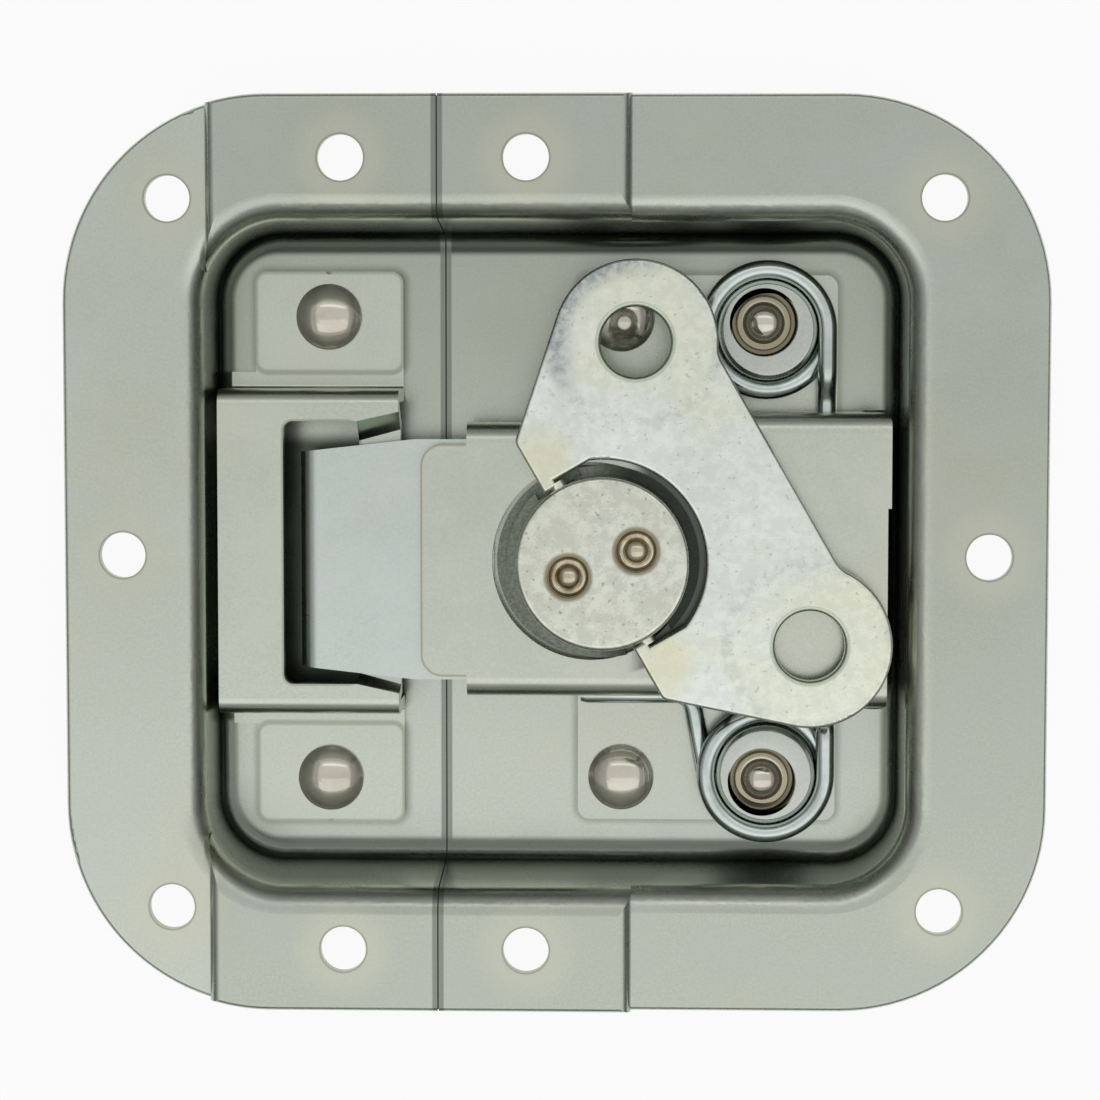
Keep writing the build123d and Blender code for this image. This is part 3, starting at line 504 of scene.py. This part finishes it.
pin_steel = bright_metal("pin_steel", (0.60, 0.58, 0.54), (0.45, 0.40, 0.34), gloss=0.22)
finish_node("pivot_pin", pin_steel)

# ---- Guide frame and backplate -----------------------------------------------------------------
# The lifting channel, 1.4 mm sheet with a tongue and a round window, and the plate staked through
# its walls that carries the hub. Zinc plated, bluer and smoother than the dish.

hub_x, hub_y = 5.5, -0.8
frame_zinc = plated("frame_zinc", (0.56, 0.60, 0.51), (0.60, 0.63, 0.55), (0.62, 0.61, 0.48))
tree = frame_zinc.node_tree
tongue = off_outline(tree, (0.0, hub_y), half=(13.0, 10.9), corner=2.5)
mark(frame_zinc, times(tree, near(tree, tongue, 0.15, 0.3, 0.6), ramp(
    tree, along(tree, "X"), -10.4 * MM, -10.1 * MM, 1.0, 0.0)), (0.30, 0.28, 0.14))
# Painted shadow of the handle: the web goes almost black in a crescent round the hub on its right side.
handle_shadow = off_outline(tree, (hub_x, hub_y), corner=11.6)
mark(frame_zinc, times(tree, near(tree, handle_shadow, 1.4, 1.8, 0.85), ramp(
    tree, along(tree, "X"), 8.0 * MM, 11.0 * MM)), (0.03, 0.035, 0.03))
finish_node("latch_frame", frame_zinc)
finish_node("frame_backplate", frame_zinc)

# ---- Hook plate --------------------------------------------------------------------------------
# The flat puller between web and backplate, 1.6 mm steel with its nose bent down to catch the
# cross-bar. Plated bright with a bluish tone.

hook_zinc = plated("hook_zinc", (0.58, 0.65, 0.60), (0.62, 0.68, 0.64), (0.62, 0.64, 0.54))
finish_node("hook_plate", hook_zinc)

# ---- Hub ---------------------------------------------------------------------------------------
# Turned steel cam with its journal and cheek, a washer below, and a bevelled cap over the handle's
# trunnion. The cap is mottled from use, with yellow patches in the plating.

# The cam and the washer get a dark zinc, darker still towards the right: painted shade under the cap
# and the handle.
cam_zinc = plated("cam_zinc", (0.14, 0.17, 0.13), (0.18, 0.21, 0.16), (0.22, 0.20, 0.12), gloss=0.36)
tree = cam_zinc.node_tree
mark(cam_zinc, ramp(tree, along(tree, "X"), 3.0 * MM, 9.0 * MM, 0.0, 0.85), (0.02, 0.025, 0.02))
finish_node("hub_cam", cam_zinc)
finish_node("hub_retainer", cam_zinc)
cap_zinc = plated("cap_zinc", (0.76, 0.79, 0.67), (0.81, 0.84, 0.75), (0.72, 0.65, 0.42), stained=0.9,
                  scratches=0.15, specks=0.5, mottled=0.42, grain=0.9)
tree = cap_zinc.node_tree
left_well, right_well = (1.644, -2.28), (9.356, 0.68)
for well in (left_well, right_well):
    burr = near(tree, off_outline(tree, well, corner=2.4), 0.12, 0.6, 0.8)
    mark(cap_zinc, burr, (0.22, 0.17, 0.09))
finish_node("hub_cap", cap_zinc)

# ---- Hub rivets --------------------------------------------------------------------------------
# Two stepped rivets that hold cap, cam and washer together. Their heads stand in shallow wells of
# the cap and have lost their plating, so they are brown.

pin_brown = bright_metal("pin_brown", (0.64, 0.58, 0.43), (0.42, 0.34, 0.22), gloss=0.14, mottle=400.0)
well_floor = 15.5
stem = fillets([(0, 4.6), (2.6, 4.6), (2.6, 5.4), (1.6, 5.4), (1.6, well_floor), (2.25, well_floor),
                (2.25, well_floor + 0.4), (1.75, well_floor + 0.62), (1.5, well_floor + 0.5)],
               (0.15, 0.1, 0.05, 0.05, 0.05, 0.12, 0.12))
for side in ("left", "right"):
    profile = np.vstack([stem, dome(1.42, well_floor + 0.55, well_floor + 1.3)])
    vertices, faces = turned_surface(profile)
    head = put_mesh("hub_rivet_turned_" + side, vertices + middle("hub_rivet_" + side), faces,
                    pin_brown, "hub")
    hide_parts("hub_rivet_" + side)

# ---- Butterfly handle --------------------------------------------------------------------------
# The folding grip: a 2 mm steel blank with two lobes, each with a finger hole, and a round
# trunnion across its waist held in the hub. Plated, mottled and scratched from use.

handle_zinc = plated("handle_zinc", (0.81, 0.87, 0.79), (0.88, 0.93, 0.88), (0.88, 0.88, 0.64),
                     stained=0.7, scratches=0.15, specks=0.3, mottled=0.22, grain=0.9)
tree = handle_zinc.node_tree
place = add(tree, "TexCoord").outputs["Object"]
mottle = ramp(tree, noise(tree, place, 700.0, detail=4.0, roughness=0.7), 0.42, 0.62)
turn = np.radians(30.0)
outward = np.array([np.cos(turn), np.sin(turn)])
sideways = np.array([-np.sin(turn), np.cos(turn)])
hub = np.array([hub_x, hub_y])
lobe_out, lobe_aside = 15.75, 19.9
for lobe in (lobe_aside, -lobe_aside):
    centre = hub + lobe_out * outward + lobe * sideways
    ring = off_outline(tree, centre, corner=4.25)
    mark(handle_zinc, near(tree, ring, 0.25, 0.45, 0.45), (0.30, 0.40, 0.28))
    rim = off_outline(tree, centre, corner=9.4)
    mark(handle_zinc, times(tree, near(tree, rim, 0.3, 1.2, 0.35), mottle), (0.45, 0.50, 0.46))
# The upper lobe's rim turns darker and bluer towards the upper left.
upper_rim = off_outline(tree, hub + lobe_out * outward + lobe_aside * sideways, corner=9.0)
leftward = add(tree, "VectorMath", {0: place, 1: (-0.8, 0.6, 0.0)},
               operation="DOT_PRODUCT").outputs["Value"]
bluish_upper_left = times(tree, near(tree, upper_rim, 0.2, 2.4, 0.85), ramp(tree, leftward, 8.0 * MM, 14.0 * MM))
soft = ramp(tree, noise(tree, place, 1300.0, detail=3.0, roughness=0.7), 0.35, 0.65, 0.35, 1.0)
mark(handle_zinc, times(tree, bluish_upper_left, soft), (0.27, 0.33, 0.37))
for side in (1, -1):
    tip = off_outline(tree, hub + 13.5 * side * sideways)
    mark(handle_zinc, near(tree, tip, 1.5, 5.0, 0.55), (0.80, 0.76, 0.50))
finish_node("butterfly_handle", handle_zinc)

# ---- Studio ------------------------------------------------------------------------------------
# A plain white floor that keeps the latch's soft shadow. A broad panel and a softer lamp hang
# overhead with two narrow strips, and a sky that is weak at the horizon evens them out.

floor_mesh = bpy.data.meshes.new("floor")
half = 3.0
floor_corners = [(-half, -half, 0), (half, -half, 0), (half, half, 0), (-half, half, 0)]
floor_mesh.from_pydata(floor_corners, [], [(0, 1, 2, 3)])
floor = bpy.data.objects.new("floor", floor_mesh)
bpy.context.scene.collection.objects.link(floor)
floor.location.z = -0.0002


def seen_white(tree, share):
    """Share of white that camera, glossy and transmission rays find, whatever the light."""
    ray = add(tree, "LightPath")
    any_ray = None
    for kind in ("Is Camera Ray", "Is Glossy Ray", "Is Transmission Ray"):
        any_ray = ray.outputs[kind] if any_ray is None else add(
            tree, "Math", {0: any_ray, 1: ray.outputs[kind]}, operation="MAXIMUM").outputs[0]
    return times(tree, any_ray, share)


white = bpy.data.materials.new("white_floor")
white.use_nodes = True
tree = white.node_tree
tree.nodes["Principled BSDF"].inputs["Base Color"].default_value = (0.9, 0.9, 0.9, 1)
tree.nodes["Principled BSDF"].inputs["Roughness"].default_value = 0.9
glow = add(tree, "Emission", {"Color": (1, 1, 1, 1), "Strength": 1.0})
mixed = add(tree, "MixShader", {0: seen_white(tree, 0.92), 1: tree.nodes["Principled BSDF"].outputs[0],
                                2: glow.outputs[0]})
tree.links.new(mixed.outputs[0], tree.nodes["Material Output"].inputs["Surface"])
floor_mesh.materials.append(white)

world = bpy.data.worlds.new("sky")
bpy.context.scene.world = world
world.use_nodes = True
tree = world.node_tree
sky = tree.nodes["Background"]
sky.inputs["Color"].default_value = (1, 1, 1, 1)
height = add(tree, "SeparateXYZ", {0: add(tree, "TexCoord").outputs["Generated"]}).outputs["Z"]
overhead = ramp(tree, height, 0.0, 0.7, 0.07, 0.41)
seen = add(tree, "LightPath").outputs["Is Camera Ray"]
lit = add(tree, "Mix", {0: seen, 2: overhead, 3: 1.0}, data_type="FLOAT").outputs[0]
tree.links.new(lit, sky.inputs["Strength"])

for name, place, size, power in (
        ("panel", (0.25, 0.0, 1.0), (2.2, 1.9), 4.2),
        ("lamp_down", (0.2, -0.6, 0.95), (2.0, 0.6), 1.2),
        ("strip_down", (0.2, -0.2, 0.93), (1.5, 0.16), 0.22),
        ("strip_up", (0.2, 0.6, 0.93), (1.5, 0.14), 0.4)):
    lamp = bpy.data.lights.new(name, "AREA")
    lamp.shape = "RECTANGLE"
    lamp.size, lamp.size_y = size
    lamp.energy = power
    stand = bpy.data.objects.new(name, lamp)
    bpy.context.scene.collection.objects.link(stand)
    stand.location = place

bpy.context.scene.view_settings.view_transform = "Standard"

# ---- Camera ------------------------------------------------------------------------------------
# Almost straight above the latch, leaning 2 degrees to the right and 4 up, with a long lens.

lens = bpy.data.cameras.new("camera")
lens.sensor_width = 36.0
lens.lens = 100.84
right, up = (0.99939, 0.00048, -0.03496), (-0.00291, 0.99757, -0.06959)
back = (0.03485, 0.06965, 0.99696)
stand_point = (0.011738, 0.025106, 0.3641)
camera = bpy.data.objects.new("camera", lens)
bpy.context.scene.collection.objects.link(camera)
aim = Matrix((right, up, back)).transposed().to_4x4()
camera.matrix_world = Matrix.Translation(stand_point) @ aim
bpy.context.scene.camera = camera
